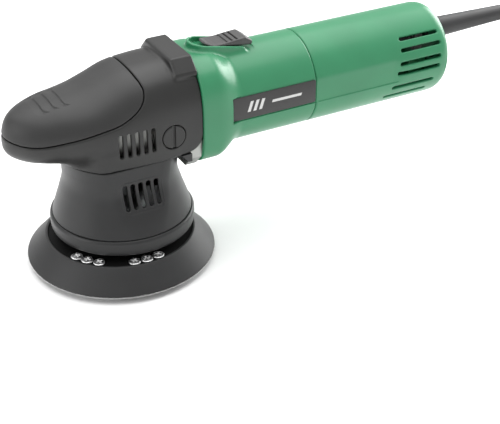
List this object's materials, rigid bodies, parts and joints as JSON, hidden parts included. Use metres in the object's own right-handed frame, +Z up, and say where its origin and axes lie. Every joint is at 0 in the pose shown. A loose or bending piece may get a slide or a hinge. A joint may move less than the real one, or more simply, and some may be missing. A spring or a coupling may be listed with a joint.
{
  "type": "dual action polisher",
  "caption": "Dual action polisher: green motor barrel, dark rubber head with palm grip, skirted orbiting backing plate, slide switch, vents and mains cord.",
  "frame": {"origin": "where the spindle axis meets the hook face of the backing plate", "axes": "+Z up the spindle, +X along the motor barrel from the head to the cord, +Y across, to the far side of the slotted near side"},
  "size_m": [0.5975, 0.132, 0.1409],
  "materials": {
    "green_plastic": "satin moulded nylon",
    "dark_plastic": "fine moulded grain",
    "soft_grip": "soft-touch rubber",
    "black_rubber": "matte",
    "plate_foam": "moulded polyurethane",
    "hook_fabric": "hook pile",
    "cast_aluminium": "die cast",
    "steel": "ground",
    "zinc_screw": "bright zinc",
    "copper_winding": "enamelled wire",
    "copper_bar": "turned copper",
    "laminated_steel": "stamped laminations",
    "white_nylon": "moulded",
    "carbon": "pressed carbon",
    "brass_sheet": "stamped",
    "board_green": "coated board",
    "label_film": "printed film, blank",
    "cord_pvc": "cord jacket"
  },
  "bodies": {
    "housing": {"air_baffle": "white_nylon", "bearing_plate": "cast_aluminium", "bearing_sleeve": "black_rubber", "brush_holders": "brass_sheet", "brush_springs": "steel", "carbon_brushes": "carbon", "case_screws": "steel", "coil_tie": "dark_plastic", "cord_boot": "black_rubber", "cord_clamp": "white_nylon", "cord_coil": "cord_pvc", "cord_tail": "cord_pvc", "cover_clips": "dark_plastic", "cover_screws": "steel", "front_rotor_bearing": "steel", "gear_case": "cast_aluminium", "head_cover": "soft_grip", "head_screws": "steel", "label_plates": "label_film", "lead_wires": "cord_pvc", "lower_spindle_bearing": "steel", "motor_housing": "green_plastic", "palm_grip": "soft_grip", "plug_body": "black_rubber", "plug_pins": "zinc_screw", "power_cord": "cord_pvc", "rear_bracket": "white_nylon", "rear_cover": "green_plastic", "rear_rotor_bearing": "steel", "side_plugs": "dark_plastic", "skirt": "dark_plastic", "skirt_ring": "dark_plastic", "speed_controller": "board_green", "stator_coils": "copper_winding", "stator_core": "laminated_steel", "switch_body": "dark_plastic", "upper_spindle_bearing": "steel"},
    "rotor": {"armature_shaft": "steel", "armature_core": "laminated_steel", "armature_windings": "copper_winding", "commutator": "copper_bar", "cooling_fan": "white_nylon", "bevel_pinion": "steel"},
    "spindle_hub": {"spindle": "steel", "bevel_gear": "steel", "eccentric_hub": "steel", "plate_bearing_upper": "steel", "plate_bearing_lower": "steel", "bearing_spacer": "steel", "bearing_circlip": "steel"},
    "plate": {"plate_spindle": "steel", "plate_hub": "dark_plastic", "backing_plate": "plate_foam", "hook_face": "hook_fabric", "hub_screws": "zinc_screw"},
    "switch": {"switch_knob": "dark_plastic", "switch_link": "white_nylon"},
    "dial": {"speed_dial": "dark_plastic"}
  },
  "joints": [
    {"name": "spindle_spin", "type": "hinge", "parent": "housing", "child": "spindle_hub", "pos_m": [0, 0, 0.08], "axis": [0, 0, 1], "continuous": true},
    {"name": "rotor_spin", "type": "hinge", "parent": "housing", "child": "rotor", "pos_m": [0.1, 0, 0.099], "axis": [1, 0, 0], "continuous": true},
    {"name": "plate_spin", "type": "hinge", "parent": "spindle_hub", "child": "plate", "pos_m": [-0.00311, -0.00252, 0.03], "axis": [0, 0, 1], "continuous": true},
    {"name": "switch_slide", "type": "slide", "parent": "housing", "child": "switch", "axis": [-1, 0, 0], "range_m": [0, 0.005]},
    {"name": "speed_dial_turn", "type": "hinge", "parent": "housing", "child": "dial", "pos_m": [0.216, 0, 0.075], "axis": [0, 1, 0], "range_deg": [0, 270]}
  ],
  "couplings": [
    {"joint": "rotor_spin", "follows": "spindle_spin", "ratio": 3.2}
  ]
}
